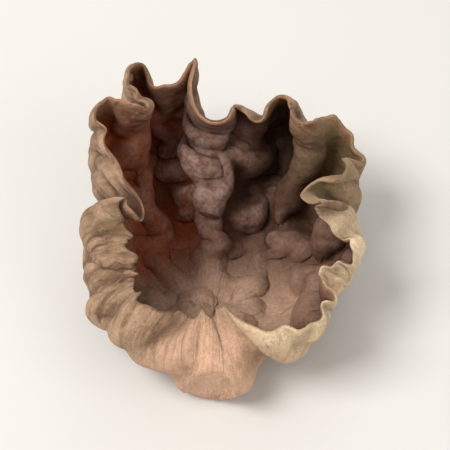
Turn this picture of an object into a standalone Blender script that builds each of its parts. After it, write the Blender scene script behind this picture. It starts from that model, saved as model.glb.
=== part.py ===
"""Dried wood ear mushroom: one thin, cupped and crumpled ear, grown in one piece.

The ear lies on its felted outer side with its hollow up. Its foot, where it grew on the wood,
is a short cut stub low on the near side (-Y). The flesh is modelled as one open sheet: a
grid whose lines run out from the foot is bent up the wall and over the inrolled rim.
Creases push the sheet in and out, and Solidify gives it the thickness of dried flesh.

Units are metres, +Z is up, and the origin is under the middle of the ear, on the surface.
"""
import bpy
import bmesh
import numpy as np

MM = 0.001

SPOKES = 116               # lines of points from the foot to the rim
RINGS = 21                 # points along each line
STEPS = 72                 # steps along each line from the foot to the rim

FLAT_RADIUS = 22.4         # mm, radius of the sheet before it is bent
FOOT_SHIFT = 0.62          # how far the foot stands off the sheet's middle, as a share of its radius
REACH_POWER = 0.66         # evens out the short near side and the long far side
TILT = 6.0                 # degrees, the ear leans back on its far side

BASE_ANGLE = -8.0          # degrees, the floor of the cup dips towards its middle
WALL_ANGLE = 60.0          # degrees, how steeply the wall rises
ROLL_ANGLE = 60.0          # degrees, how far the rim rolls in

FLESH_FOOT = 1.25          # mm, thickness of the flesh at the foot
FLESH_WALL = 0.80          # mm, in the wall
FLESH_RIM = 0.50           # mm, at the rim

REST_DEPTH = 0.45          # mm, how far the lowest bumps are pressed flat by lying on them

STUB_LENGTH = 1.6          # mm, how far the foot's stub stands out of the near wall
STUB_CUT = 0.45            # mm, what the cut takes off its end
STUB_PLACE = (0.02, -0.80) # where it stands on the flat disc, in radii
STUB_REACH = (0.060, 0.165) # its crown's and its base's radius on the flat disc, in radii

OUTER_COLOUR = (0.40, 0.27, 0.18, 1.0)

# Directions are angles of the rim in degrees: 0 is the far side (+Y), 90 the right (+X),
# 180 the near side, where the foot is.

# centre, width, change of the wall's steepness in degrees
WALLS = (
    (0, 40, -18), (-100, 40, 6), (60, 22, -14), (116, 26, -4), (180, 30, 22),
)

# centre, width, change of the rim's roll in degrees
ROLLS = (
    (-165, 16, 24), (-122, 24, 38), (-76, 20, 34), (-40, 12, 28), (-14, 12, 20),
    (6, 10, 20), (30, 12, 50), (58, 12, 0), (104, 16, 36), (146, 18, -30), (178, 14, 34),
)

# centre, width, how much sooner the roll begins, as a share of the way out: a broader band
ROLL_STARTS = ((-105, 45, -0.14), (180, 30, -0.10), (136, 26, 0.08))

# centre, width, lean of the upper wall in degrees: the small lobes of the rim
LEANS = (
    (-56, 9, -14), (-28, 9, 7),
    (14, 8, 4), (32, 8, -12), (50, 8, 12), (66, 8, -16), (82, 8, 12), (100, 9, 4),
    (120, 9, -6), (134, 8, 8), (154, 9, -10), (170, 9, 4),
)

# centre, width, sideways sway in degrees: how the lobes crowd together
TURNS = (
    (-110, 14, -2), (-84, 12, 1), (-56, 11, -3), (-34, 10, 4), (20, 10, -2), (34, 10, -4),
    (54, 11, 7), (78, 11, -5), (104, 11, 1), (134, 12, -2),
)

# angle at the rim, drift towards the foot, half width (degrees), depth (mm, plus is inward),
# where along the way out it begins and where it is full
CREASES = (
    (-46, 10, 10, 2.6, 0.36, 0.85),
    (50, -8, 9, 2.0, 0.34, 0.85),
    (92, -6, 10, 1.8, 0.34, 0.92),
    (130, 8, 9, 0.7, 0.50, 1.00),
)

# the same columns, for the broad folds; the first is the mound in the middle of the hollow
FOLDS = (
    (5, -6, 22, 4.5, 0.12, 0.60),
    (-27, 4, 13, -2.4, 0.20, 0.70),
    (34, -4, 13, -2.6, 0.20, 0.70),
    (-74, 0, 20, 1.0, 0.20, 0.70),
    (70, 0, 16, -2.2, 0.20, 0.70),
    (118, 0, 24, 1.2, 0.20, 0.70),
)
FOLD_FADE = 0.6            # how much of a fold is lost at the rim

# waves round the rim that make the sheet's outline uneven: number, share, phase
OUTLINE = ((2, 1.0, 0.4), (3, 0.8, 1.9), (5, 0.6, 2.2), (7, 0.5, 0.3), (12, 0.5, 0.3), (17, 0.4, 2.0))
OUTLINE_SHARE = 0.06

# centre, width, share of the length lost where the rim is drawn in
NOTCHES = (
    (1, 14, -0.16), (-25, 9, -0.08), (-46, 8, -0.05),
    (48, 8, -0.04), (59, 9, -0.09), (92, 8, -0.06), (119, 8, -0.11),
)

# small dents of the whole sheet: heading in degrees, waves over the disc's width, phase
DENTS = ((12, 7.0, 0.3), (71, 8.5, 1.7), (128, 6.5, 4.1), (164, 9.5, 2.6), (39, 10.5, 5.2), (101, 5.5, 0.9))
DENT_DEPTH = 0.13          # mm each


def smooth(value, low, high):
    """Rise from 0 at low to 1 at high with soft ends."""
    share = np.clip((value - low) / (high - low), 0.0, 1.0)
    return share * share * (3.0 - 2.0 * share)


def turned(rim, centre):
    """The angle from centre to rim, between -180 and 180 degrees."""
    return (rim - centre + 180.0) % 360.0 - 180.0


def swell(rim, centre, width):
    """A soft bump round the rim."""
    return np.exp(-(turned(rim, centre) / width) ** 2)


def ridge(rim, centre, width, soft=3.0):
    """A sharper bump, with a narrow crown and long skirts."""
    away = turned(rim, centre)
    crown = np.exp(-1.1 * (np.sqrt(away ** 2 + soft ** 2) - soft) / width)
    return crown * np.exp(-(away / (2.4 * width)) ** 2)


def sum_of(rim, table):
    """The summed bumps of a table at each rim angle."""
    return sum(amount * swell(rim, centre, width) for centre, width, amount in table)


def fan(spokes, rings):
    """Lines from the foot to evenly spaced points of the rim of the flat disc.

    Gives the rim angle in degrees, the share of the way out, the direction and the length of
    each line, and the points' places on the disc. The first index is the line.
    """
    step = np.linspace(0, 1, rings + 1)
    rim, out = np.meshgrid(np.linspace(-180, 180, spokes + 1), step * (1.4 - 0.4 * step), indexing="ij")
    across, along = np.sin(np.radians(rim)), np.cos(np.radians(rim)) + FOOT_SHIFT
    return rim, out, np.arctan2(across, along), np.hypot(across, along), across * out, along * out - FOOT_SHIFT


def bend(direction, out, reach, rim, detail):
    """Walk each line from the foot to its place on the sheet, turning up the wall on the way.

    Detail 1 gives the crumpled cup, and 0 a plain one with no rolled rim and no lobes.
    """
    uneven = sum(share * np.cos(number * np.radians(rim) + phase) for number, share, phase in OUTLINE)
    outline = OUTLINE_SHARE * uneven + sum_of(rim, NOTCHES)
    length = FLAT_RADIUS * reach ** REACH_POWER * (1.0 + outline * out ** 2)
    wall = WALL_ANGLE + sum_of(rim, WALLS)
    roll = detail * (ROLL_ANGLE + sum_of(rim, ROLLS))
    lean = detail * sum_of(rim, LEANS)
    turn = detail * np.radians(sum_of(rim, TURNS))
    roll_start = 0.62 + sum_of(rim, ROLL_STARTS)
    place = np.zeros(out.shape + (3,))
    stride = length * out / STEPS
    for step in range(STEPS):
        here = out * (step + 0.5) / STEPS
        rise = np.radians(BASE_ANGLE + wall * smooth(here, 0.14, 0.56)
                          + lean * smooth(here, 0.45, 1.0) + roll * smooth(here, roll_start, 1.02))
        heading = direction + turn * smooth(here, 0.3, 1.0)
        place[..., 0] += stride * np.cos(rise) * np.sin(heading)
        place[..., 1] += stride * np.cos(rise) * np.cos(heading)
        place[..., 2] += stride * np.sin(rise)
    return place


def lean_back(place):
    """Tip the ear back on its far side."""
    cos, sin = np.cos(np.radians(TILT)), np.sin(np.radians(TILT))
    x, y, z = place[..., 0], place[..., 1], place[..., 2]
    return np.stack([x, y * cos + z * sin, z * cos - y * sin], axis=-1)


def sheet_normals(place):
    """Unit normals of the sheet, pointing into the hollow."""
    wrapped = np.concatenate([place[-2:-1], place, place[1:2]])
    round_it = (wrapped[2:] - wrapped[:-2]) / 2.0
    normal = np.cross(round_it, np.gradient(place, axis=1))
    normal[:, 0] = normal[:-1, 1].mean(axis=0)
    return normal / (np.linalg.norm(normal, axis=-1, keepdims=True) + 1e-12)


def push_depth(out, rim):
    """How far the creases and folds push the sheet in, in mm."""
    push = np.zeros(out.shape)
    fading = 1.0 - FOLD_FADE * smooth(out, 0.62, 1.0)
    for table, shape, share in ((CREASES, ridge, 1.0), (FOLDS, swell, fading)):
        for angle, drift, width, depth, begin, full in table:
            bump = shape(rim, angle + drift * (1.0 - out), width)
            push += depth * share * bump * smooth(out, begin, full)
    return push


def dents(p, q, out):
    """Small uneven dents, deepest in the wall, in mm."""
    p_swayed = p + 0.06 * np.sin(7.0 * q + 1.0)
    q_swayed = q + 0.06 * np.sin(6.0 * p + 2.0)
    total = np.zeros(p.shape)
    for heading, waves, phase in DENTS:
        along = p_swayed * np.cos(np.radians(heading)) + q_swayed * np.sin(np.radians(heading))
        total += np.sin(np.pi * waves * along + phase)
    return DENT_DEPTH * total * (0.4 + 0.6 * smooth(out, 0.1, 0.6)) * (1.0 - 0.8 * smooth(out, 0.65, 0.9))


def flesh(out):
    """Thickness of the flesh in mm, from the foot to the rim."""
    near_foot = 1.0 - smooth(out, 0.05, 0.35)
    near_rim = smooth(out, 0.6, 1.0)
    return FLESH_WALL + (FLESH_FOOT - FLESH_WALL) * near_foot + (FLESH_RIM - FLESH_WALL) * near_rim


def stub(p, q):
    """How far the foot's stub stands out of the outer side, in mm."""
    away = np.hypot(p - STUB_PLACE[0], q - STUB_PLACE[1])
    return STUB_LENGTH * (1.0 - smooth(away, *STUB_REACH))


def ear_sheet(spokes, rings):
    """The middle of the flesh as a grid of points in mm, with its normals and its thickness."""
    rim, out, direction, reach, p, q = fan(spokes, rings)
    cup = lean_back(bend(direction, out, reach, rim, 0.0))
    place = lean_back(bend(direction, out, reach, rim, 1.0))
    place += sheet_normals(cup) * push_depth(out, rim)[..., None]
    normal = sheet_normals(place)
    place += normal * (dents(p, q, out) - stub(p, q) / 2.0)[..., None]
    return place, normal, flesh(out) + stub(p, q)


def new_sheet(place, thick):
    """The sheet as an open grid in Blender, with a vertex group that holds its thickness."""
    grid = bmesh.new()
    bmesh.ops.create_grid(grid, x_segments=SPOKES, y_segments=RINGS, size=1.0)
    weight = grid.verts.layers.deform.verify()
    for vert in grid.verts:
        spoke = int(round((vert.co.x + 1.0) / 2.0 * SPOKES))
        ring = int(round((vert.co.y + 1.0) / 2.0 * RINGS))
        vert.co = place[spoke, ring] * MM
        vert[weight][0] = float(thick[spoke, ring] / thick.max())
    bmesh.ops.remove_doubles(grid, verts=grid.verts, dist=1e-7)
    bmesh.ops.recalc_face_normals(grid, faces=grid.faces)
    mesh = bpy.data.meshes.new("sheet")
    grid.to_mesh(mesh)
    grid.free()
    sheet = bpy.data.objects.new("sheet", mesh)
    sheet.vertex_groups.new(name="flesh")
    return sheet


def thicken(sheet, thickness):
    """Give the sheet its flesh on both sides and return the closed mesh."""
    solid = sheet.modifiers.new("flesh", "SOLIDIFY")
    solid.thickness = thickness * MM
    solid.offset = 0.0
    solid.use_rim = True
    solid.vertex_group = "flesh"
    bpy.context.view_layer.update()
    seen = sheet.evaluated_get(bpy.context.evaluated_depsgraph_get())
    return bpy.data.meshes.new_from_object(seen)


def press(points, origin, away, radius):
    """Press the points that stand past a plane back onto it, within a radius of its origin."""
    past = (points - origin) @ away
    near = np.linalg.norm(points - origin, axis=1) < radius
    points -= np.outer(np.where((past > 0.0) & near, past, 0.0), away)


def main():
    for thing in list(bpy.data.objects):
        bpy.data.objects.remove(thing)
    group = bpy.data.collections.new("dried_wood_ear")
    bpy.context.scene.collection.children.link(group)

    place, normal, thick = ear_sheet(SPOKES, RINGS)
    sheet = new_sheet(place, thick)
    group.objects.link(sheet)
    mesh = thicken(sheet, thick.max())
    bpy.data.objects.remove(sheet)

    points = np.empty(len(mesh.vertices) * 3)
    mesh.vertices.foreach_get("co", points)
    points = points.reshape(-1, 3)
    end = np.unravel_index(np.argmax(thick), thick.shape)
    tip = (place[end] - normal[end] * (thick[end] / 2.0 - STUB_CUT)) * MM
    press(points, tip, -normal[end], 3.5 * MM)
    floor = np.array([0.0, 0.0, points[:, 2].min() + REST_DEPTH * MM])
    press(points, floor, np.array([0.0, 0.0, -1.0]), 1.0)
    middle = (points.min(axis=0) + points.max(axis=0)) / 2.0
    points -= np.array([middle[0], middle[1], floor[2]])
    mesh.vertices.foreach_set("co", points.ravel())
    mesh.update()

    ear = bpy.data.objects.new("ear", mesh)
    group.objects.link(ear)
    mesh.name = "ear"
    mesh.shade_smooth()
    mesh.materials.append(felted_outside())


def felted_outside():
    """The dried flesh: dull tan-brown."""
    material = bpy.data.materials.new("dried_flesh")
    material.use_nodes = True
    shader = material.node_tree.nodes["Principled BSDF"]
    shader.inputs["Base Color"].default_value = OUTER_COLOUR
    shader.inputs["Roughness"].default_value = 0.75
    shader.inputs["Metallic"].default_value = 0.0
    return material


main()
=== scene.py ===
"""Looks of one dried wood ear mushroom: its crumpled flesh, its two sides and a plain studio.

The ear is one sheet of flesh. It is bent by the same rules as the solid of the frame, then it
is dried: the skin has too much length for the flesh that holds it, and buckles into wrinkles.
The inner side is a thin brown skin. The outer side, with the foot and the rolled rim, is felt.
Lengths in the tables are in mm, and the studio's in metres. Angles round the rim are in degrees:
0 is the far side (+Y), 90 the right (+X), and 180 the near side, where the foot is. A span is a
pair of shares of the way out from the foot to the rim, where something begins and is full.
"""

import math

import bpy
import numpy as np
from bpy.props import FloatProperty, FloatVectorProperty, IntProperty, PointerProperty
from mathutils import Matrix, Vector


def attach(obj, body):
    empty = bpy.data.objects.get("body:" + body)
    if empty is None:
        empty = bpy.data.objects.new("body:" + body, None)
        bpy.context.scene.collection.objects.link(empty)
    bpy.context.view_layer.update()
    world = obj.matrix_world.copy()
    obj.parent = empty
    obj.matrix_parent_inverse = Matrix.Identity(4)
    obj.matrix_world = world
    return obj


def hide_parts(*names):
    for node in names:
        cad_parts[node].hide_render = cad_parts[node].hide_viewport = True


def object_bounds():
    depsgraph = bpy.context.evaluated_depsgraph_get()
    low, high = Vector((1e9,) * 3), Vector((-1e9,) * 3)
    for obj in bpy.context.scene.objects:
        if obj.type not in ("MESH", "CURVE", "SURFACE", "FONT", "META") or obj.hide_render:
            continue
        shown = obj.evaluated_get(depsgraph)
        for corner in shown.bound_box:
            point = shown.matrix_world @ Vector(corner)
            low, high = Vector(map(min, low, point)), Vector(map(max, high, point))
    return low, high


bl_info = {
    "name": "Dried wood ear",
    "version": (1, 0, 0),
    "blender": (4, 5, 0),
    "location": "View3D > Sidebar > Wood ear",
    "description": "Grows one dried wood ear mushroom over its solid and sets it in a plain studio",
    "category": "Add Mesh",
}

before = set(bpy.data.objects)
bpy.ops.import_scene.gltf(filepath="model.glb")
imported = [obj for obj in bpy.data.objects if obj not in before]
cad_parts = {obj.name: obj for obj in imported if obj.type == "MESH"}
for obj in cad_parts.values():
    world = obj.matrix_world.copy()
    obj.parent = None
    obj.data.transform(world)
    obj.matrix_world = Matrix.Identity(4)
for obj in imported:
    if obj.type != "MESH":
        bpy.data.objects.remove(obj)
CAD_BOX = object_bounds()

MM = 0.001

# ------------------------------------------------------------------ form of the flesh, as in the solid

STEPS = 72                 # steps along each line from the foot to the rim

FLAT_RADIUS = 22.4         # radius of the sheet before it is bent
FOOT_SHIFT = 0.62          # how far the foot stands off the sheet's middle, in radii
REACH_POWER = 0.66         # evens out the short near side and the long far side
TILT = 6.0                 # degrees, the ear leans back on its far side

BASE_ANGLE = -8.0          # degrees, the floor of the cup dips towards its middle
WALL_ANGLE = 60.0          # degrees, how steeply the wall rises
ROLL_ANGLE = 60.0          # degrees, how far the rim rolls in
WALL_SPAN = (0.14, 0.56)   # of the wall's rise
LEAN_SPAN = (0.45, 1.00)   # of the lean of the lobes
TURN_SPAN = (0.30, 1.00)   # of their sway
ROLL_BEGINS = 0.62         # share of the way out where the rim begins to roll in
ROLL_ENDS = 1.02           # share where it would be rolled in full, just past the rim

FLESH_FOOT = 1.25          # thickness of the flesh at the foot
FLESH_WALL = 0.80          # in the wall
FLESH_RIM = 0.50           # at the rim
FOOT_SPAN = (0.05, 0.35)   # where it thins from the foot to the wall
RIM_SPAN = (0.60, 1.00)    # where it thins from the wall to the rim

STUB_LENGTH = 1.6          # how far the foot's stub stands out of the near wall
STUB_CUT = 0.45            # what the cut takes off its end
STUB_PLACE = (0.02, -0.80)  # where it stands on the flat disc, in radii
STUB_REACH = (0.060, 0.165)  # its crown's and its base's radius on the flat disc, in radii

# centre, width, change of the wall's steepness in degrees
WALLS = (
    (0, 40, -18), (-100, 40, 6), (60, 22, -14), (116, 26, -4), (180, 30, 22),
)

# centre, width, change of the rim's roll in degrees
ROLLS = (
    (-165, 16, 24), (-122, 24, 38), (-76, 20, 34), (-40, 12, 28), (-14, 12, 20),
    (6, 10, 20), (30, 12, 50), (58, 12, 0), (104, 16, 36), (146, 18, -30), (178, 14, 34),
)

# centre, width, change of the share of the way out where the roll begins: sooner is a broader band
ROLL_STARTS = ((-105, 45, -0.14), (180, 30, -0.10), (136, 26, 0.08))

# centre, width, lean of the upper wall in degrees: the small lobes of the rim
LEANS = (
    (-56, 9, -14), (-28, 9, 7),
    (14, 8, 4), (32, 8, -12), (50, 8, 12), (66, 8, -16), (82, 8, 12), (100, 9, 4),
    (120, 9, -6), (134, 8, 8), (154, 9, -10), (170, 9, 4),
)

# centre, width, sideways sway in degrees: how the lobes crowd together
TURNS = (
    (-110, 14, -2), (-84, 12, 1), (-56, 11, -3), (-34, 10, 4), (20, 10, -2), (34, 10, -4),
    (54, 11, 7), (78, 11, -5), (104, 11, 1), (134, 12, -2),
)

# angle at the rim, drift towards the foot, half width (degrees), depth (plus is inward),
# where along the way out it begins and where it is full
CREASES = (
    (-46, 10, 10, 2.6, 0.36, 0.85),
    (50, -8, 9, 2.0, 0.34, 0.85),
    (92, -6, 10, 1.8, 0.34, 0.92),
    (130, 8, 9, 0.7, 0.50, 1.00),
)
CREASE_CROWN = 3.0         # degrees, how softly a crease's crown is rounded
CREASE_FALL = 1.1          # how steeply it falls off the crown, per half width
CREASE_SKIRT = 2.4         # how far its skirts reach, in half widths

# the same columns, for the broad folds; the first is the mound in the middle of the hollow
FOLDS = (
    (5, -6, 22, 4.5, 0.12, 0.60),
    (-27, 4, 13, -2.4, 0.20, 0.70),
    (34, -4, 13, -2.6, 0.20, 0.70),
    (-74, 0, 20, 1.0, 0.20, 0.70),
    (70, 0, 16, -2.2, 0.20, 0.70),
    (118, 0, 24, 1.2, 0.20, 0.70),
)
FOLD_FADE = 0.6            # how much of a fold is lost at the rim
FADE_SPAN = (0.62, 1.00)   # of that loss

# waves round the rim that make the sheet's outline uneven: number, share, phase
OUTLINE = ((2, 1.0, 0.4), (3, 0.8, 1.9), (5, 0.6, 2.2), (7, 0.5, 0.3), (12, 0.5, 0.3), (17, 0.4, 2.0))
OUTLINE_SHARE = 0.06

# centre, width, change of the length, as a share, where the rim is drawn in
NOTCHES = (
    (1, 14, -0.16), (-25, 9, -0.08), (-46, 8, -0.05),
    (48, 8, -0.04), (59, 9, -0.09), (92, 8, -0.06), (119, 8, -0.11),
)

# small dents of the whole sheet: heading in degrees, waves over the disc's width, phase
DENTS = ((12, 7.0, 0.3), (71, 8.5, 1.7), (128, 6.5, 4.1), (164, 9.5, 2.6), (39, 10.5, 5.2), (101, 5.5, 0.9))
DENT_DEPTH = 0.13          # each
DENT_SWAY = 0.06           # how far their lines sway, in radii
SWAY_ACROSS = (7.0, 1.0)   # waves and phase of the sway across the disc
SWAY_ALONG = (6.0, 2.0)    # and of that along it
DENT_FOOT = 0.4            # share of the depth at the foot
DENT_FOOT_SPAN = (0.1, 0.6)  # where it grows to the whole
DENT_RIM = 0.2             # share of the depth at the rim
DENT_RIM_SPAN = (0.65, 0.9)  # where it fades to that

# ------------------------------------------------------------------ what drying does

GRID = 221                 # points along each side of the sheet's grid
REST_DEPTH = 0.30          # how far the lowest wrinkles are pressed flat by lying on them
EDGE_ROUND = 0.045         # width of the rounded edge, as a share of the sheet's radius
HOLD = 0.05                # stiffness of the skin against bending
KICK = 0.05                # unevenness that the wrinkles start from
FLOOR_SOFT = 0.18          # how softly the sheet gives way to the floor that it dries on
SCAR_ROUGH = 0.08          # unevenness of the cut at the foot
FRAY = 0.13                # unevenness of the rim's line
FRAY_SPAN = (0.88, 1.00)   # of that unevenness
PINCH = 0.6                # share of a sharp bend's radius that the flesh may fill
FURROW_POWER = 4           # how suddenly a furrow sets in where a bend is too sharp
CUT_RADIUS = 3.5           # how far the cut at the foot reaches from the middle of the stub's end
SCAR_HEIGHTS = (0.5, 1.2)  # height on the stub where its roughness begins and is full
TIP_SPAN = (0.0, 0.14)     # where the evening out round the foot's tip ends
PUCKER_SPAN = (0.1, 0.9)   # where the skin's spare length grows from the foot's to the rim's
CROWDED = (0.1, 0.5)       # size of a cell against the usual one where fine forms begin and are full

# blotches of unevenness: how many across the sheet, and their seed; that of a kick is added to the form's
KICK_BLOTCHES = ((60, 0), (25, 1))
FRAY_BLOTCHES = ((48, 21), (24, 22))
SCAR_BLOTCHES = (70, 5)

# number of blotches across the sheet that evening out leaves
EVEN_TIP = 24              # in the foot's tip
EVEN_CROWD = 8             # in the grid's crowded corners
EVEN_STUB = 20             # in the way that the stub stands
EVEN_CREST = 26            # in the level above which a wrinkle stands out

# each size of wrinkle: spacing, play of the skin at the foot and at the rim, spare length across the
# lines from the foot, as a share, at the foot and at the rim, spare length along them, rounds, and
# what is added to the seed
WRINKLES = (
    (3.4, 0.15, 0.70, 0.03, 0.25, 0.06, 80, 0),
    (1.5, 0.14, 0.40, 0.08, 0.22, 0.10, 50, 6),
    (0.9, 0.06, 0.12, 0.08, 0.12, 0.08, 30, 12),
)

# where the flesh wrinkles less on the flat disc: across, along and radius of a soft spot in radii,
# and how much less; the foot, the broad band on the left and the floor behind the foot
CALM_SPOTS = ((0.02, -0.80, 0.30, 0.85), (-0.86, -0.36, 0.46, 0.80), (-0.04, -0.52, 0.26, 0.75))

FOOT_RADIUS = 0.25         # radius of the bare flesh round the foot, in radii
MAP_MARGIN = 0.01          # left free round each side's flat map

# the small pleats of the inner and of the outer side: how far apart halfway out, and how long
SKIN_PLEATS = (0.86, 4.5)
FELT_PLEATS = (0.75, 5.6)

# where each tint shows on the flat disc: across, along and radius of its soft spots, in radii
TINTS = {
    # A painted red glow of light shining through the thin flesh, in the shade left of the mound.
    "shade_glow": ((-0.34, -0.20, 0.20), (-0.50, 0.04, 0.18), (-0.22, 0.02, 0.17), (-0.34, 0.34, 0.16),
             (-0.66, 0.32, 0.18), (-0.36, 0.62, 0.18)),
    # Mauve spore powder, partly a painted highlight, mostly on the mound.
    "bloom_and_highlight": ((0.00, 0.20, 0.26), (-0.02, 0.50, 0.24), (0.24, 0.10, 0.14), (-0.02, 0.80, 0.20)),
    # Painted shade in the deep pocket right of the mound.
    "pocket_shade": ((0.38, 0.34, 0.15), (0.46, 0.56, 0.15), (0.50, 0.16, 0.12)),
    # Painted light on the floor of the hollow near the foot.
    "lit": ((0.02, -0.42, 0.24), (-0.22, -0.52, 0.20), (0.28, -0.48, 0.24)),
    "olive": ((0.82, 0.42, 0.36), (0.95, 0.00, 0.22)),
    # The pale yellow of the near right rim, partly a painted highlight.
    "cream_and_highlight": ((0.62, -0.72, 0.22), (0.84, -0.46, 0.20), (0.40, -0.90, 0.14)),
}

# ------------------------------------------------------------------ studio

PAPER_RADIUS = 2.0         # metres

# name, place and size in metres, share of the key light's power
SOFT_LIGHTS = (
    ("key_light", (-0.15, -0.05, 0.25), 0.13, 1.0),
    ("fill_light", (0.22, -0.14, 0.18), 0.24, 0.34),
    ("back_light", (0.06, 0.26, 0.12), 0.14, 0.30),
)


def smooth(value, low, high):
    """Rise from 0 at low to 1 at high with soft ends."""
    share = np.clip((value - low) / (high - low), 0.0, 1.0)
    return share * share * (3.0 - 2.0 * share)


def turned(rim, centre):
    """The angle from centre to rim, between -180 and 180 degrees."""
    return (rim - centre + 180.0) % 360.0 - 180.0


def swell(rim, centre, width):
    """A soft bump round the rim."""
    return np.exp(-(turned(rim, centre) / width) ** 2)


def ridge(rim, centre, width):
    """A sharper bump, with a narrow crown and long skirts."""
    away = turned(rim, centre)
    crown = np.exp(-CREASE_FALL * (np.sqrt(away ** 2 + CREASE_CROWN ** 2) - CREASE_CROWN) / width)
    return crown * np.exp(-(away / (CREASE_SKIRT * width)) ** 2)


def sum_of(rim, table):
    """The summed bumps of a table at each rim angle."""
    return sum(amount * swell(rim, centre, width) for centre, width, amount in table)


def mean_ladder():
    """The arithmetic-geometric mean of 1 and the root of one half, and the gaps on the way to it."""
    mean, other, gap, ladder = 1.0, math.sqrt(0.5), math.sqrt(0.5), []
    while gap > 1e-9:
        mean, other, gap = (mean + other) / 2, math.sqrt(mean * other), (mean - other) / 2
        ladder.append(gap / mean)
    return mean, ladder


def elliptic(value):
    """The Jacobi functions sn, cn and dn of real numbers, for the parameter one half."""
    mean, ladder = mean_ladder()
    angle = mean * value * 2.0 ** len(ladder)
    for share in reversed(ladder):
        angle = (angle + np.arcsin(share * np.sin(angle))) / 2
    return np.sin(angle), np.cos(angle), np.sqrt(1.0 - 0.5 * np.sin(angle) ** 2)


def flat_disc():
    """Points of the flat sheet in radii: a square grid drawn into the disc so that its cells stay
    square, and its border becomes the rim. A quarter period of the functions spans half a side."""
    quarter = math.pi / 2 / mean_ladder()[0]
    side = np.linspace(-1, 1, GRID)
    across, along = np.meshgrid(side, side, indexing="ij")
    sn, cn, dn = elliptic(quarter * ((across - along) / 2 - 1))
    sn_up, cn_up, dn_up = elliptic(quarter * (across + along) / 2)
    below = 1.0 - (dn * sn_up) ** 2
    real, imaginary = cn * cn_up / below, -sn * dn * sn_up * dn_up / below
    return (real + imaginary) / math.sqrt(2), (imaginary - real) / math.sqrt(2)


def from_the_foot(p, q):
    """Each point's direction from the foot, share of the way out, reach and rim angle."""
    direction = np.arctan2(p, q + FOOT_SHIFT)
    along = FOOT_SHIFT * np.cos(direction)
    reach = along + np.sqrt(1.0 - (FOOT_SHIFT * np.sin(direction)) ** 2)
    rim = np.degrees(np.arctan2(reach * np.sin(direction), reach * np.cos(direction) - FOOT_SHIFT))
    return direction, np.clip(np.hypot(p, q + FOOT_SHIFT) / reach, 0.0, 1.0), reach, rim


def bend(direction, out, reach, rim, detail):
    """Walk each line from the foot to its place on the sheet, turning up the wall on the way.

    Detail 1 gives the crumpled cup, and 0 a plain one with no rolled rim and no lobes.
    """
    uneven = sum(share * np.cos(number * np.radians(rim) + phase) for number, share, phase in OUTLINE)
    outline = OUTLINE_SHARE * uneven + sum_of(rim, NOTCHES)
    length = FLAT_RADIUS * reach ** REACH_POWER * (1.0 + outline * out ** 2)
    wall = WALL_ANGLE + sum_of(rim, WALLS)
    roll = detail * (ROLL_ANGLE + sum_of(rim, ROLLS))
    lean = detail * sum_of(rim, LEANS)
    turn = detail * np.radians(sum_of(rim, TURNS))
    roll_begins = ROLL_BEGINS + sum_of(rim, ROLL_STARTS)
    place = np.zeros(out.shape + (3,))
    stride = length * out / STEPS
    for step in range(STEPS):
        here = out * (step + 0.5) / STEPS
        rise = np.radians(BASE_ANGLE + wall * smooth(here, *WALL_SPAN) + lean * smooth(here, *LEAN_SPAN)
                          + roll * smooth(here, roll_begins, ROLL_ENDS))
        heading = direction + turn * smooth(here, *TURN_SPAN)
        place[..., 0] += stride * np.cos(rise) * np.sin(heading)
        place[..., 1] += stride * np.cos(rise) * np.cos(heading)
        place[..., 2] += stride * np.sin(rise)
    return place


def lean_back(place):
    """Tip the ear back on its far side."""
    cos, sin = np.cos(np.radians(TILT)), np.sin(np.radians(TILT))
    x, y, z = place[..., 0], place[..., 1], place[..., 2]
    return np.stack([x, y * cos + z * sin, z * cos - y * sin], axis=-1)


def sheet_normals(place):
    """Unit normals of the sheet, pointing into the hollow."""
    normal = np.cross(np.gradient(place, axis=0), np.gradient(place, axis=1))
    return normal / (np.linalg.norm(normal, axis=-1, keepdims=True) + 1e-12)


def push_depth(out, rim):
    """How far the creases and folds push the sheet in."""
    push = np.zeros(out.shape)
    fading = 1.0 - FOLD_FADE * smooth(out, *FADE_SPAN)
    for table, shape, share in ((CREASES, ridge, 1.0), (FOLDS, swell, fading)):
        for angle, drift, width, depth, begin, full in table:
            bump = shape(rim, angle + drift * (1.0 - out), width)
            push += depth * share * bump * smooth(out, begin, full)
    return push


def dents(p, q, out):
    """Small uneven dents, deepest in the wall."""
    p_swayed = p + DENT_SWAY * np.sin(SWAY_ACROSS[0] * q + SWAY_ACROSS[1])
    q_swayed = q + DENT_SWAY * np.sin(SWAY_ALONG[0] * p + SWAY_ALONG[1])
    total = np.zeros(p.shape)
    for heading, waves, phase in DENTS:
        along = p_swayed * np.cos(np.radians(heading)) + q_swayed * np.sin(np.radians(heading))
        total += np.sin(np.pi * waves * along + phase)
    off_the_foot = DENT_FOOT + (1.0 - DENT_FOOT) * smooth(out, *DENT_FOOT_SPAN)
    off_the_rim = 1.0 - (1.0 - DENT_RIM) * smooth(out, *DENT_RIM_SPAN)
    return DENT_DEPTH * total * off_the_foot * off_the_rim


def flesh(out):
    """Thickness of the flesh, from the foot to the rim."""
    near_foot = 1.0 - smooth(out, *FOOT_SPAN)
    near_rim = smooth(out, *RIM_SPAN)
    return FLESH_WALL + (FLESH_FOOT - FLESH_WALL) * near_foot + (FLESH_RIM - FLESH_WALL) * near_rim


def stub(p, q):
    """How far the foot's stub stands out of the outer side."""
    away = np.hypot(p - STUB_PLACE[0], q - STUB_PLACE[1])
    return STUB_LENGTH * (1.0 - smooth(away, *STUB_REACH))


def fresh_sheet(p, q):
    """The middle of the flesh before it dries, and each point's share of the way out."""
    direction, out, reach, rim = from_the_foot(p, q)
    cup = lean_back(bend(direction, out, reach, rim, 0.0))
    place = lean_back(bend(direction, out, reach, rim, 1.0))
    place += sheet_normals(cup) * push_depth(out, rim)[..., None]
    place += sheet_normals(place) * dents(p, q, out)[..., None]
    return place, out


# ------------------------------------------------------------------ drying

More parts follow.
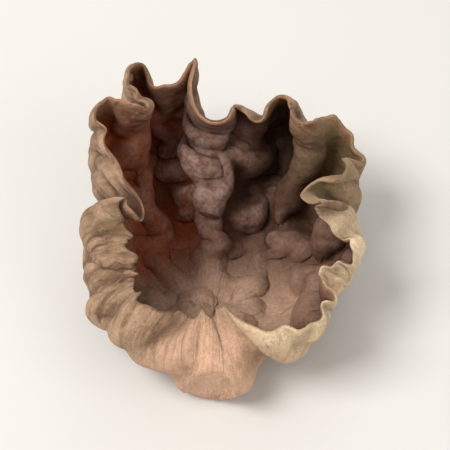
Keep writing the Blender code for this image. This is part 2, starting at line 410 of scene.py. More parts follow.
def waves_of(count):
    """The cosine waves of a row of points, longest first, one in each row."""
    number, point = np.arange(count)[:, None], np.arange(count)[None, :]
    waves = np.cos(np.pi * number * (2 * point + 1) / (2 * count)) * math.sqrt(2.0 / count)
    waves[0] /= math.sqrt(2.0)
    return waves


def blotches(waves, across, seed):
    """An even random field with about so many blotches across, of standard deviation 1."""
    count = across * 2
    amount = np.random.default_rng(seed).normal(size=(count, count))
    number = np.arange(count)
    amount *= np.exp(-(number[:, None] ** 2 + number[None, :] ** 2) / (across * 1.2) ** 2)
    field = waves[:count].T @ amount @ waves[:count]
    return field / field.std()


def softened(field, waves, across):
    """The field without what is finer than so many blotches across."""
    number = np.arange(len(waves))
    keep = np.exp(-(number[:, None] ** 2 + number[None, :] ** 2) / across ** 2)
    parts = np.moveaxis(np.atleast_3d(field), 2, 0)
    parts = waves.T @ ((waves @ parts @ waves.T) * keep) @ waves
    return np.moveaxis(parts, 0, 2).reshape(field.shape)


def room(place):
    """The size of the grid's cells against the usual one, at most 1: small at the grid's corners."""
    cell = np.linalg.norm(np.gradient(place, axis=0), axis=-1)
    return np.minimum(cell / cell.mean(), 1.0)


def neighbours():
    """The skin's threads both ways over the grid: the first and the second point of each, and its
    step across and along."""
    low, high, every = slice(0, -1), slice(1, None), slice(None)
    return ((low, every), (high, every), 1, 0), ((every, low), (every, high), 0, 1)


def thread_lengths(place, out, spare_round, spare_out):
    """The length that each thread of the skin keeps, with what it has to spare."""
    toward = np.stack(np.gradient(out))
    toward /= np.hypot(*toward) + 1e-9
    lengths = []
    for first, second, across, along in neighbours():
        share = ((toward[0][first] + toward[0][second]) * across
                 + (toward[1][first] + toward[1][second]) * along) / 2
        share = np.clip(share ** 2, 0, 1)
        longer_out = 1 + (spare_out[first] + spare_out[second]) / 2
        longer_round = 1 + (spare_round[first] + spare_round[second]) / 2
        longer = np.sqrt(longer_out ** 2 * share + longer_round ** 2 * (1 - share))
        lengths.append(np.linalg.norm(place[second] - place[first], axis=-1) * longer)
    return lengths


def dry(place, out, waves, spacing, play, spare_round, spare_out, rounds, seed):
    """Shrink the flesh under a skin that keeps its length, so that the skin buckles.

    Each round sets every thread of the skin to its length, holds each point to the flesh with
    the play it has, and evens the bends out.
    """
    number = 2 - 2 * np.cos(np.pi * np.arange(len(place)) / len(place))
    rough = number[:, None] + number[None, :]
    cell = np.linalg.norm(np.gradient(place, axis=0), axis=-1)
    tie = HOLD * (2 * np.pi * cell.mean() / spacing) ** 4
    crowd = room(place) ** 2
    play, spare_round, spare_out = play * crowd, spare_round * crowd, spare_out * crowd
    answer = 1.0 / (rough + HOLD * rough ** 2 + tie)
    lengths = thread_lengths(place, out, spare_round, spare_out)
    start = KICK * sum(blotches(waves, count, seed + more) for count, more in KICK_BLOTCHES)
    skin = place + sheet_normals(place) * (start * crowd)[..., None]
    fresh = HOLD * rough ** 2 * (waves @ place.transpose(2, 0, 1) @ waves.T)
    for _ in range(rounds):
        pull = np.zeros_like(skin)
        for (first, second, _across, _along), length in zip(neighbours(), lengths):
            thread = skin[second] - skin[first]
            thread *= (length / (np.linalg.norm(thread, axis=-1) + 1e-9))[..., None]
            pull[second] += thread
            pull[first] -= thread
        away = skin - place
        far = np.linalg.norm(away, axis=-1, keepdims=True)
        held = place + away * np.minimum(1.0, play[..., None] / (far + 1e-9))
        pull = waves @ (pull + tie * held).transpose(2, 0, 1) @ waves.T + fresh
        skin = (waves.T @ (pull * answer) @ waves).transpose(1, 2, 0)
    return skin


def dried_sheet(place, out, waves, calm, depth, seed):
    """Wrinkle the sheet, the broad folds first and the fine ones in them. The foot stays smooth,
    the grid's crowded corners take only the broad moves, and what bulges down stays on the floor
    that the fresh sheet lies on."""
    tip = 1.0 - smooth(out, *TIP_SPAN)
    place = place + tip[..., None] * (softened(place, waves, EVEN_TIP) - place)
    floor = place[..., 2].min()
    fresh = place
    wall = smooth(out, *PUCKER_SPAN) * (1.0 - calm)
    for spacing, play_foot, play_rim, round_foot, round_rim, spare, rounds, start in WRINKLES:
        play = depth * (play_foot + (play_rim - play_foot) * out) * (1.0 - calm)
        spare_round = round_foot + (round_rim - round_foot) * wall
        spare_out = np.full(out.shape, spare)
        place = dry(place, out, waves, spacing, play, spare_round, spare_out, rounds, seed + start)
    moved = place - fresh
    even = softened(moved, waves, EVEN_CROWD)
    place = fresh + even + (moved - even) * smooth(room(fresh), *CROWDED)[..., None]
    above = place[..., 2] - floor
    place[..., 2] = floor + (above + np.sqrt(above ** 2 + 4 * FLOOR_SOFT ** 2)) / 2
    return place


# ------------------------------------------------------------------ the ear's mesh

def press(points, origin, away, radius):
    """Press the points that stand past a plane back onto it, within a radius of its origin."""
    past = (points - origin) @ away
    near = np.linalg.norm(points - origin, axis=-1) < radius
    points -= np.where((past > 0.0) & near, past, 0.0)[..., None] * away


def frayed(place, out, waves):
    """Make the line of the rim uneven, by small shifts along the sheet."""
    slope = np.gradient(out)
    outward = sum(np.gradient(place, axis=axis) * slope[axis][..., None] for axis in (0, 1))
    outward /= np.linalg.norm(outward, axis=-1, keepdims=True) + 1e-9
    uneven = sum(blotches(waves, count, seed) for count, seed in FRAY_BLOTCHES)
    shift = FRAY * uneven * smooth(out, *FRAY_SPAN) * smooth(room(place), *CROWDED)
    return place + outward * shift[..., None]


def furrow_depth(place, normal, half):
    """The share of its thickness that the flesh loses where it bends so sharply that one of its
    sides would cross itself."""
    bends = [np.linalg.norm(np.gradient(normal, axis=axis), axis=-1)
             / (np.linalg.norm(np.gradient(place, axis=axis), axis=-1) + 1e-9) for axis in (0, 1)]
    sharp = half * np.maximum(*bends) / PINCH
    return 1.0 - 1.0 / (1.0 + sharp ** FURROW_POWER) ** (1 / FURROW_POWER)


def two_sides(place, out, p, q, waves):
    """The inner and the outer side of the flesh, which meet in a rounded edge, and its furrows."""
    normal = sheet_normals(place)
    steady = softened(normal, waves, EVEN_STUB)
    steady /= np.linalg.norm(steady, axis=-1, keepdims=True)
    inward = np.clip((np.hypot(p, q) - 1.0 + EDGE_ROUND) / EDGE_ROUND, 0.0, 1.0)
    edge = np.sqrt(np.clip(1.0 - inward ** 2, 0.0, 1.0))
    half = flesh(out) / 2 * edge
    furrow = furrow_depth(place, normal, half)
    half *= 1.0 - furrow
    length = stub(p, q)
    inner = place + normal * half[..., None]
    outer = place - normal * half[..., None] - steady * length[..., None]
    end = np.unravel_index(np.argmax(length), length.shape)
    press(outer, outer[end] + steady[end] * STUB_CUT, -steady[end], CUT_RADIUS)
    rough = SCAR_ROUGH * blotches(waves, *SCAR_BLOTCHES) * smooth(length, *SCAR_HEIGHTS)
    outer += steady * rough[..., None]
    return inner, outer, furrow


def on_the_floor(inner, outer):
    """Set the two sides down so that the lowest wrinkles are pressed flat at height 0."""
    both = np.stack([inner, outer]).reshape(-1, 3)
    middle = (both.min(axis=0) + both.max(axis=0)) / 2
    shift = np.array([middle[0], middle[1], both[:, 2].min() + REST_DEPTH])
    for side in (inner, outer):
        side -= shift
        np.maximum(side[..., 2], 0.0, out=side[..., 2])


def quads(index):
    """The faces of a grid of point numbers."""
    corners = (index[:-1, :-1], index[1:, :-1], index[1:, 1:], index[:-1, 1:])
    return np.stack(corners, axis=-1).reshape(-1, 4)


def closed_mesh(name, inner, outer):
    """One closed mesh of the two sides, which share the points of the rim."""
    count = len(inner)
    inner_index = np.arange(count * count).reshape(count, count)
    inside = np.zeros((count, count), bool)
    inside[1:-1, 1:-1] = True
    outer_index = inner_index.copy()
    outer_index[inside] = count * count + np.arange(inside.sum())
    points = np.concatenate([inner.reshape(-1, 3), outer[inside]]) * MM
    faces = np.concatenate([quads(inner_index), quads(outer_index)[:, ::-1]])
    mesh = bpy.data.meshes.new(name)
    mesh.from_pydata(points.tolist(), [], faces.tolist())
    mesh.polygons.foreach_set("material_index", np.repeat([0, 1], len(faces) // 2))
    mesh.shade_smooth()
    lay_out(mesh, count)
    return mesh, inside


def lay_out(mesh, count):
    """A flat map with the inner side in its left half and the outer side in its right half."""
    side = np.linspace(MAP_MARGIN, 1.0 - MAP_MARGIN, count)
    flat = np.stack(np.meshgrid(side, side, indexing="ij"), axis=-1).reshape(-1, 2)
    corners = flat[quads(np.arange(count * count).reshape(count, count))]
    inner_map = corners * (0.5, 1.0)
    outer_map = corners[:, ::-1] * (0.5, 1.0) + (0.5, 0.0)
    layer = mesh.uv_layers.new(name="OFBake")
    layer.data.foreach_set("uv", np.concatenate([inner_map, outer_map]).ravel())


def paint(mesh, name, inner, outer, inside):
    """Store a value for each point of the mesh."""
    layer = mesh.attributes.new(name, "FLOAT", "POINT")
    layer.data.foreach_set("value", np.concatenate([inner.ravel(), outer[inside]]).astype(np.float32))


def spot(p, q, centre, radius):
    """A soft round spot on the flat disc."""
    return np.exp(-((p - centre[0]) ** 2 + (q - centre[1]) ** 2) / radius ** 2)


def tint_spots(p, q, spots):
    """Soft round spots on the flat disc, as one value from 0 to 1."""
    return 1.0 - np.prod([1.0 - spot(p, q, (x, y), radius) for x, y, radius in spots], axis=0)


def calmness(p, q):
    """How much less the flesh wrinkles, from 0 to 1."""
    wrinkled = [1.0 - less * spot(p, q, (x, y), radius) for x, y, radius, less in CALM_SPOTS]
    return 1.0 - np.prod(wrinkled, axis=0)


def paint_lines(mesh, direction, out, inside):
    """Store for each point the direction of its line from the foot, as two waves, and how far out
    it is, so that a pattern drawn in them runs from the foot to the rim."""
    lines = np.stack([np.cos(direction), np.sin(direction), out], axis=-1)
    layer = mesh.attributes.new("lines", "FLOAT_VECTOR", "POINT")
    layer.data.foreach_set("vector", np.concatenate([lines.reshape(-1, 3), lines[inside]]).ravel())


def build_ear(form):
    """The dried ear's mesh with the values that its materials read."""
    p, q = flat_disc()
    waves = waves_of(GRID)
    place, out = fresh_sheet(p, q)
    place = dried_sheet(place, out, waves, calmness(p, q), form.wrinkle_depth, form.seed)
    place = frayed(place, out, waves)
    inner, outer, furrow = two_sides(place, out, p, q, waves)
    on_the_floor(inner, outer)
    mesh, inside = closed_mesh("dried_ear", inner, outer)
    # How far each point stands above the smoothed sheet; the materials paint shade in the hollows and light
    # on the bumps with it.
    raised = ((place - softened(place, waves, EVEN_CREST)) * sheet_normals(place)).sum(axis=-1)
    foot = spot(p, q, STUB_PLACE, FOOT_RADIUS)
    paint(mesh, "raised", raised, -raised, inside)
    paint(mesh, "out", out, out, inside)
    paint(mesh, "foot", foot, foot, inside)
    # The furrows also darken the colour, as painted shade in the creases.
    paint(mesh, "furrow", furrow, furrow, inside)
    for name, spots in TINTS.items():
        tint = tint_spots(p, q, spots)
        paint(mesh, name, tint, tint, inside)
    paint_lines(mesh, from_the_foot(p, q)[0], out, inside)
    return mesh


# ------------------------------------------------------------------ materials

def linear(code):
    """Linear red, green and blue of an sRGB hex value."""
    parts = [int(code[start:start + 2], 16) / 255 for start in (1, 3, 5)]
    return tuple(part / 12.92 if part <= 0.04045 else ((part + 0.055) / 1.055) ** 2.4 for part in parts)


def add(tree, kind, values, links=None, output=0):
    """Add a node, set its settings and inputs by name or number, link its inputs to sources and
    return one of its outputs."""
    node = tree.nodes.new(kind)
    for key, value in values.items():
        if isinstance(key, str) and hasattr(node, key):
            setattr(node, key, value)
        else:
            node.inputs[key].default_value = value
    for key, source in (links or {}).items():
        tree.links.new(source, node.inputs[key])
    return node.outputs[output]


def new_material(name, finish):
    """A material with its shader's even values set, and the parts that its pattern is built from."""
    material = bpy.data.materials.new(name)
    material.use_nodes = True
    tree = material.node_tree
    shader = tree.nodes["Principled BSDF"]
    for key, value in finish.items():
        shader.inputs[key].default_value = value
    coords = add(tree, "ShaderNodeTexCoord", {}, output="Object")
    return material, tree, shader, coords


def run_from_foot(tree, apart, length):
    """Coordinates for a pattern of pleats that run from the foot to the rim, so far apart halfway
    out, and so long, in mm."""
    lines = add(tree, "ShaderNodeAttribute", {"attribute_name": "lines"}, output="Vector")
    across = FLAT_RADIUS / 2 / apart
    return add(tree, "ShaderNodeVectorMath",
               {"operation": "MULTIPLY", 1: (across, across, FLAT_RADIUS / length)}, {0: lines})


def tinted(tree, colour, tint, amount, share):
    """The colour mixed with a tint, by the amount times a share."""
    factor = add(tree, "ShaderNodeMath", {"operation": "MULTIPLY", 1: share}, {0: amount})
    return add(tree, "ShaderNodeMix", {"data_type": "RGBA", 7: (*tint, 1)}, {0: factor, 6: colour}, output=2)


def spore_dust_and_highlight(tree, mottle, crest, bloom_and_highlight):
    """How thick the mauve spore powder lies, which is partly a painted highlight: in mottled patches on the
    bumps, most of it in its listed spots.
    """
    dust_and_highlight = add(tree, "ShaderNodeMapRange", {"From Min": 0.30, "From Max": 0.72, "To Max": 0.95,
                                            "interpolation_type": "SMOOTHSTEP"}, {"Value": mottle})
    dust_and_highlight = add(tree, "ShaderNodeMath", {"operation": "MULTIPLY"}, {0: dust_and_highlight, 1: crest})
    settled = add(tree, "ShaderNodeMapRange", {"To Min": 0.40, "To Max": 1.25}, {"Value": bloom_and_highlight})
    return add(tree, "ShaderNodeMath", {"operation": "MULTIPLY", "use_clamp": True}, {0: dust_and_highlight, 1: settled})


def thin_rim(tree, out, patches, mottle):
    """Where the skin runs out to the thin rim, with an uneven border."""
    uneven = add(tree, "ShaderNodeMath", {"operation": "MULTIPLY_ADD", 1: 0.16}, {0: patches, 2: out})
    uneven = add(tree, "ShaderNodeMath", {"operation": "MULTIPLY_ADD", 1: 0.12}, {0: mottle, 2: uneven})
    return add(tree, "ShaderNodeMapRange", {"From Min": 1.02, "From Max": 1.16,
                                            "interpolation_type": "SMOOTHSTEP"}, {"Value": uneven})


def dried_skin(colours):
    """The fertile inner side: a jelly skin that dried to thin dull horn. It is dark red-brown with
    a soft gloss, dusty mauve on its bumps where spores lie, and lets light through where it is thin.
    The mauve on the bumps is partly a painted highlight, and the colour is painted paler on the bumps
    and darker in the hollows of the wrinkles, the creases and the pocket on the right, as light and
    shade would fall. A painted pool of light pales the floor of the hollow near the foot, and a
    painted red glow of light through the thin flesh lies in the shade left of the mound.
    The spore powder's grain is drawn about 0.3 mm coarse, because the real one is too fine to show."""
    material, tree, shader, coords = new_material("dried_jelly_skin", {
        "IOR": 1.45, "Specular IOR Level": 0.22, "Subsurface Weight": 0.10, "Subsurface Scale": 0.9 * MM,
        "Subsurface Radius": (1.0, 0.32, 0.16)})
    painted = {name: add(tree, "ShaderNodeAttribute", {"attribute_name": name}, output="Fac")
               for name in ("raised", "out", "furrow", "shade_glow", "olive", "lit", "bloom_and_highlight", "pocket_shade")}
    patches = add(tree, "ShaderNodeTexNoise", {"Scale": 1 / (5.0 * MM), "Detail": 3.0, "Roughness": 0.55},
                  {"Vector": coords})
    mottle = add(tree, "ShaderNodeTexNoise", {"Scale": 1 / (0.9 * MM), "Detail": 5.0, "Roughness": 0.62,
                                              "Distortion": 0.4}, {"Vector": coords})
    grain = add(tree, "ShaderNodeTexNoise", {"Scale": 1 / (0.30 * MM), "Detail": 4.0, "Roughness": 0.7},
                {"Vector": coords})
    crinkle = add(tree, "ShaderNodeTexNoise", {"noise_type": "RIDGED_MULTIFRACTAL", "Scale": 1 / (1.2 * MM),
                                               "Detail": 4.0, "Roughness": 0.55}, {"Vector": coords})
    pleats = add(tree, "ShaderNodeTexNoise", {"Scale": 1.0, "Detail": 3.0, "Roughness": 0.6},
                 {"Vector": run_from_foot(tree, *SKIN_PLEATS)})

    # Darker in the hollows of the wrinkles and paler on their bumps, over random patches: painted shade and
    # light.
    crest = add(tree, "ShaderNodeMapRange", {"From Min": -0.24, "From Max": 0.24},
                {"Value": painted["raised"]})
    blend = add(tree, "ShaderNodeMath", {"operation": "MULTIPLY_ADD", 1: 1.2, 2: -0.42}, {0: patches})
    blend = add(tree, "ShaderNodeMath", {"operation": "MULTIPLY_ADD", 1: 0.8, "use_clamp": True},
                {0: crest, 2: blend})
    dust_and_highlight = spore_dust_and_highlight(tree, mottle, crest, painted["bloom_and_highlight"])
    colour = add(tree, "ShaderNodeMix", {"data_type": "RGBA", 6: (*colours.skin_dark_and_shade, 1),
                                         7: (*colours.skin_brown, 1)}, {0: blend}, output=2)
    for tint, amount, share in (
            # A painted red glow of light shining through the thin flesh, in the shade left of the mound.
            (colours.skin_shade_glow, painted["shade_glow"], 0.90),
            (colours.felt_olive, painted["olive"], 0.75),
            # Painted light on the floor of the hollow near the foot.
            (colours.skin_lit_tone, painted["lit"], 0.95),
            # Mauve spore powder on the bumps, partly a painted highlight.
            (colours.skin_dust_and_highlight, dust_and_highlight, 1.00),
            # Painted shade in the deep pocket on the right of the mound.
            (colours.skin_dark_and_shade, painted["pocket_shade"], 0.80),
            # Painted shade in the creases.
            (colours.skin_dark_and_shade, painted["furrow"], 0.50),
            (colours.rim_tan, thin_rim(tree, painted["out"], patches, mottle), 0.85)):
        colour = tinted(tree, colour, tint, amount, share)
    speck = add(tree, "ShaderNodeMapRange", {"From Min": 0.35, "From Max": 0.65, "To Min": 0.80,
                                             "To Max": 1.14}, {"Value": grain})
    colour = add(tree, "ShaderNodeVectorMath", {"operation": "SCALE"}, {0: colour, 3: speck})
    tree.links.new(colour, shader.inputs["Base Color"])

    gloss = add(tree, "ShaderNodeMapRange", {"From Max": 0.8, "To Min": 0.42, "To Max": 0.78},
                {"Value": dust_and_highlight})
    gloss = add(tree, "ShaderNodeMath", {"operation": "MULTIPLY_ADD", 1: 0.16}, {0: grain, 2: gloss})
    tree.links.new(gloss, shader.inputs["Roughness"])
    bumps = add(tree, "ShaderNodeBump", {"Strength": 0.8, "Distance": 0.30 * MM}, {"Height": pleats})
    bumps = add(tree, "ShaderNodeBump", {"Strength": 0.8, "Distance": 0.20 * MM},
                {"Height": crinkle, "Normal": bumps})
    bumps = add(tree, "ShaderNodeBump", {"Strength": 0.9, "Distance": 0.10 * MM},
                {"Height": grain, "Normal": bumps})
    tree.links.new(bumps, shader.inputs["Normal"])
    return material


def felt_crests(tree, raised, pleats):
    """The crests of the wrinkles, broken up by the pleats on them."""
    crest = add(tree, "ShaderNodeMapRange", {"From Min": -0.22, "From Max": 0.22}, {"Value": raised})
    pleat_tops = add(tree, "ShaderNodeMapRange", {"From Min": 0.36, "From Max": 0.64}, {"Value": pleats})
    crest = add(tree, "ShaderNodeMath", {"operation": "MULTIPLY"}, {0: crest, 1: pleat_tops})
    return add(tree, "ShaderNodeMath", {"operation": "MULTIPLY", 1: 1.6, "use_clamp": True}, {0: crest})


def dried_felt(colours):
    """The barren outer side, with the rolled rim and the foot: flesh under a nap of short pale
    hairs, dried. It is dull and warm tan, greyer in patches, paler on the worn crests. Its colour is
    painted darker in the hollows of the wrinkles, between the pleats and in the creases, as shade
    would fall, and the pale yellow of the near right rim is partly a painted highlight along its
    crests. The nap is drawn about 0.3 mm coarse, because the real hairs are too fine to show."""
    material, tree, shader, coords = new_material("dried_felt", {
        "IOR": 1.45, "Specular IOR Level": 0.25, "Subsurface Weight": 0.08, "Subsurface Scale": 0.7 * MM,
        "Subsurface Radius": (1.0, 0.45, 0.25), "Sheen Weight": 0.15, "Sheen Roughness": 0.45,
        "Sheen Tint": (*colours.felt_sheen, 1)})
    painted = {name: add(tree, "ShaderNodeAttribute", {"attribute_name": name}, output="Fac")
               for name in ("raised", "foot", "furrow", "olive", "cream_and_highlight")}
    patches = add(tree, "ShaderNodeTexNoise", {"Scale": 1 / (6.0 * MM), "Detail": 3.0, "Roughness": 0.55},
                  {"Vector": coords})
    mottle = add(tree, "ShaderNodeTexNoise", {"Scale": 1 / (1.3 * MM), "Detail": 6.0, "Roughness": 0.65,
                                              "Distortion": 0.5}, {"Vector": coords})
    nap = add(tree, "ShaderNodeTexNoise", {"Scale": 1 / (0.28 * MM), "Detail": 4.0, "Roughness": 0.7,
                                           "Distortion": 1.2}, {"Vector": coords})
    crinkle = add(tree, "ShaderNodeTexNoise", {"noise_type": "RIDGED_MULTIFRACTAL", "Scale": 1 / (1.0 * MM),
                                               "Detail": 4.0, "Roughness": 0.6}, {"Vector": coords})
    pleats = add(tree, "ShaderNodeTexNoise", {"Scale": 1.0, "Detail": 4.0, "Roughness": 0.62},
                 {"Vector": run_from_foot(tree, *FELT_PLEATS)})

    crest = felt_crests(tree, painted["raised"], pleats)
    grey = add(tree, "ShaderNodeMapRange", {"From Min": 0.42, "From Max": 0.68,
                                            "interpolation_type": "SMOOTHSTEP"}, {"Value": patches})
    worn = add(tree, "ShaderNodeMapRange", {"From Min": 0.36, "From Max": 0.70, "To Min": 0.15,
                                            "interpolation_type": "SMOOTHSTEP"}, {"Value": mottle})
    worn = add(tree, "ShaderNodeMath", {"operation": "MULTIPLY"}, {0: worn, 1: crest})
    stain = add(tree, "ShaderNodeMapRange", {"From Min": 0.46, "From Max": 0.30,
                                             "interpolation_type": "SMOOTHSTEP"}, {"Value": mottle})
    # The pale yellow of the near right rim, partly a painted highlight on its crests.
    cream_and_highlight = add(tree, "ShaderNodeMapRange", {"To Min": 0.50, "To Max": 1.0}, {"Value": crest})
    cream_and_highlight = add(tree, "ShaderNodeMath", {"operation": "MULTIPLY"}, {0: painted["cream_and_highlight"], 1: cream_and_highlight})
    # Painted shade and light: darker in the hollows of the wrinkles and between the pleats, paler on their
    # crests.
    colour = add(tree, "ShaderNodeMix", {"data_type": "RGBA", 6: (*colours.felt_brown_and_shade, 1),
                                         7: (*colours.felt_tan, 1)}, {0: crest}, output=2)
    for tint, amount, share in (
            (colours.felt_olive, grey, 0.50),
            (colours.felt_olive, painted["olive"], 0.75),
            (colours.felt_pale, worn, 0.70),
            (colours.felt_brown_and_shade, stain, 0.60),
            # The pale yellow of the near right rim, partly a painted highlight.
            (colours.rim_cream_and_highlight, cream_and_highlight, 0.95),
            (colours.foot_salmon, painted["foot"], 0.85),
            (colours.felt_tan, stain, 0.35),
            # Painted shade in the creases.
            (colours.felt_brown_and_shade, painted["furrow"], 0.85)):
        colour = tinted(tree, colour, tint, amount, share)
    tips = add(tree, "ShaderNodeMapRange", {"From Min": 0.35, "From Max": 0.68, "To Min": 0.76,
                                            "To Max": 1.14}, {"Value": nap})
    colour = add(tree, "ShaderNodeVectorMath", {"operation": "SCALE"}, {0: colour, 3: tips})
    tree.links.new(colour, shader.inputs["Base Color"])

    dull = add(tree, "ShaderNodeMapRange", {"To Min": 0.88, "To Max": 0.62}, {"Value": painted["foot"]})
    tree.links.new(dull, shader.inputs["Roughness"])
    bumps = add(tree, "ShaderNodeBump", {"Strength": 0.9, "Distance": 0.45 * MM}, {"Height": pleats})
    bumps = add(tree, "ShaderNodeBump", {"Strength": 0.9, "Distance": 0.22 * MM},
                {"Height": crinkle, "Normal": bumps})
    bumps = add(tree, "ShaderNodeBump", {"Strength": 0.9, "Distance": 0.10 * MM},
                {"Height": nap, "Normal": bumps})
    tree.links.new(bumps, shader.inputs["Normal"])
    return material


def matt_paper(colour):
    """The studio's floor: a sheet of matt background paper, a shade uneven."""
    material, tree, shader, coords = new_material("matt_paper", {"Roughness": 0.92,
                                                                 "Specular IOR Level": 0.2})
    cloudy = add(tree, "ShaderNodeTexNoise", {"Scale": 1 / (60 * MM), "Detail": 2.0}, {"Vector": coords})
    shade = add(tree, "ShaderNodeMapRange", {"To Min": 0.985, "To Max": 1.015}, {"Value": cloudy})
    tone = add(tree, "ShaderNodeVectorMath", {"operation": "SCALE", 0: colour}, {3: shade})
    tree.links.new(tone, shader.inputs["Base Color"])
    return material


# ------------------------------------------------------------------ settings

def colour_setting(name, code, about):
    """A colour that the user may change, from its hex value."""
    return FloatVectorProperty(name=name, description=about, subtype="COLOR", size=3, min=0.0, max=1.0,
                               default=linear(code))


class WoodEarForm(bpy.types.PropertyGroup):
    """How the ear dried."""

    wrinkle_depth: FloatProperty(
        name="Wrinkle depth", description="Play of the skin on the flesh, against that of this ear",
        default=1.0, min=0.0, max=2.0, subtype="FACTOR")
    seed: IntProperty(
        name="Seed", description="Start of the wrinkles' pattern", default=3, min=0)


class WoodEarColours(bpy.types.PropertyGroup):
    """Colours of the dried flesh."""

    # Deep and plain skin: their blend paints shade in the hollows of the wrinkles and light on the bumps,
    # and the deep one is also painted shade in the creases and in the pocket on the right.
    skin_dark_and_shade: colour_setting("Skin, deep", "#331608", "Inner side in its pits")
    skin_brown: colour_setting("Skin", "#664536", "Inner side on its bumps")
    # Painted light: the pale tone of the lit floor of the hollow near the foot.
    skin_lit_tone: colour_setting("Skin, near the foot", "#b8957c", "Inner side, worn pale near the foot")
    # Mauve spore powder on the bumps, partly a painted highlight.
    skin_dust_and_highlight: colour_setting("Dust and highlight", "#94786d", "Spore dust on the inner side")
    # Painted red glow of light shining through thin flesh, in the shade left of the mound.
    skin_shade_glow: colour_setting("Shade glow", "#8c3f15", "Inner side where the flesh is thin")
    rim_tan: colour_setting("Rim", "#a27c61", "Edge of the rim")
    felt_tan: colour_setting("Felt", "#a07e64", "Outer side")
    felt_pale: colour_setting("Felt, worn", "#b9967c", "Outer side on its crests")
    # Also the painted shade in the hollows of the wrinkles and in the creases, besides the brown stains.
    felt_brown_and_shade: colour_setting("Felt, deep", "#593b2b", "Outer side in its furrows")
    felt_olive: colour_setting("Felt, grey", "#86744f", "Grey-olive patches of the outer side")
    felt_sheen: colour_setting("Felt, sheen", "#f0dcc8", "Pale hairs of the outer side, seen at a slant")
    # Pale yellow of the near right rim, partly a painted highlight along its crests.
    rim_cream_and_highlight: colour_setting("Cream and highlight", "#ecd3ac", "Outer side of the near right rim")
    foot_salmon: colour_setting("Foot", "#e6b898", "Bare flesh round the foot")


class WoodEarStudio(bpy.types.PropertyGroup):
    """The plain studio round the ear."""

    paper: colour_setting("Paper", "#cfccc7", "Floor")
    elevation: FloatProperty(
        name="Elevation", description="How far the camera looks down", subtype="ANGLE",
        default=math.radians(55), min=0.0, max=math.radians(89))
    focal_length: FloatProperty(
        name="Focal length", description="Focal length of the camera", subtype="DISTANCE_CAMERA",
        default=110.0, min=35.0, max=300.0)
    fill: FloatProperty(
        name="Fill", description="Share of the picture's height that the ear takes", subtype="FACTOR",
        default=0.82, min=0.2, max=1.0)
    key_power: FloatProperty(
        name="Key light", description="Power of the main light", subtype="POWER", default=0.85, min=0.0)
    room_colour: colour_setting("Room", "#f6f4f0", "Soft light from all round")
    room_strength: FloatProperty(
        name="Room light", description="Strength of the soft light from all round", default=0.55, min=0.0)


class WOODEAR_OT_grow(bpy.types.Operator):
    """Grow the dried ear over its solid"""

    bl_idname = "wood_ear.grow"
    bl_label = "Grow the ear"

    def execute(self, context):
        scene = context.scene
        mesh = build_ear(scene.wood_ear_form)
        mesh.materials.append(dried_skin(scene.wood_ear_colours))
        mesh.materials.append(dried_felt(scene.wood_ear_colours))
        ear = bpy.data.objects.new("dried_ear", mesh)
        scene.collection.objects.link(ear)
        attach(ear, "root")
        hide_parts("ear")
        return {"FINISHED"}


def set_up(name, data, place, target):
    """Place a light or a camera so that it looks at a point."""
    thing = bpy.data.objects.new(name, data)
    thing.location = Vector(place)
    thing.rotation_euler = (target - thing.location).to_track_quat("-Z", "Y").to_euler()
    bpy.context.scene.collection.objects.link(thing)
    return thing


def lay_paper(colour):
    """The floor."""
    bpy.ops.mesh.primitive_circle_add(vertices=96, radius=PAPER_RADIUS, fill_type="NGON")
    floor = bpy.context.object
    floor.name = "paper_floor"
    floor.data.materials.append(matt_paper(colour))


def hang_lights(studio, target):
    """The soft lights, which all look at the ear, and the even light of the room."""
    for name, place, size, share in SOFT_LIGHTS:
        data = bpy.data.lights.new(name, "AREA")
        data.size, data.energy = size, studio.key_power * share
        set_up(name, data, place, target)
    world = bpy.data.worlds.new("pale_studio")
    world.use_nodes = True
    background = world.node_tree.nodes["Background"]
    background.inputs["Color"].default_value = (*studio.room_colour, 1)
    background.inputs["Strength"].default_value = studio.room_strength
    bpy.context.scene.world = world


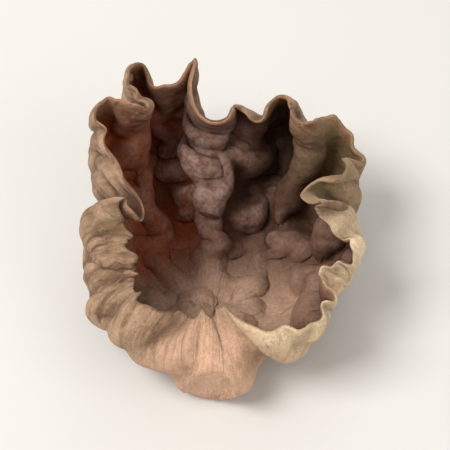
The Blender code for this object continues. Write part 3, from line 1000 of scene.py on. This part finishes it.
def place_camera(studio, low, high):
    """The camera, as far off as lets the ear fill its share of the picture."""
    up = math.sin(studio.elevation)
    back = math.cos(studio.elevation)
    middle = (low + high) / 2
    tall = (high.y - low.y) * up + (high.z - low.z) * back
    data = bpy.data.cameras.new("camera")
    data.lens, data.clip_start = studio.focal_length, 1 * MM
    distance = tall / studio.fill * data.lens / data.sensor_width
    return set_up("camera", data, middle + Vector((0.0, -back, up)) * distance, middle)


class WOODEAR_OT_stage(bpy.types.Operator):
    """Lay the paper, hang the soft lights and set up the camera"""

    bl_idname = "wood_ear.stage"
    bl_label = "Set the stage"

    def execute(self, context):
        scene, studio = context.scene, context.scene.wood_ear_studio
        low, high = CAD_BOX
        lay_paper(studio.paper)
        hang_lights(studio, (low + high) / 2)
        scene.camera = place_camera(studio, low, high)
        scene.view_settings.view_transform = "Standard"
        return {"FINISHED"}


class WOODEAR_PT_panel(bpy.types.Panel):
    """The wood ear's steps and settings"""

    bl_label = "Dried wood ear"
    bl_space_type = "VIEW_3D"
    bl_region_type = "UI"
    bl_category = "Wood ear"

    def draw(self, context):
        layout, scene = self.layout, context.scene
        for operator, group in (("wood_ear.grow", scene.wood_ear_form), (None, scene.wood_ear_colours),
                                ("wood_ear.stage", scene.wood_ear_studio)):
            if operator:
                layout.operator(operator)
            for name in group.__annotations__:
                layout.prop(group, name)


CLASSES = (WoodEarForm, WoodEarColours, WoodEarStudio, WOODEAR_OT_grow, WOODEAR_OT_stage, WOODEAR_PT_panel)


def register():
    for cls in CLASSES:
        bpy.utils.register_class(cls)
    bpy.types.Scene.wood_ear_form = PointerProperty(type=WoodEarForm)
    bpy.types.Scene.wood_ear_colours = PointerProperty(type=WoodEarColours)
    bpy.types.Scene.wood_ear_studio = PointerProperty(type=WoodEarStudio)


def unregister():
    del bpy.types.Scene.wood_ear_studio
    del bpy.types.Scene.wood_ear_colours
    del bpy.types.Scene.wood_ear_form
    for cls in reversed(CLASSES):
        bpy.utils.unregister_class(cls)


def main():
    """Grow the ear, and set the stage."""
    register()
    bpy.ops.wood_ear.grow()
    bpy.ops.wood_ear.stage()


if __name__ == "__main__":
    main()
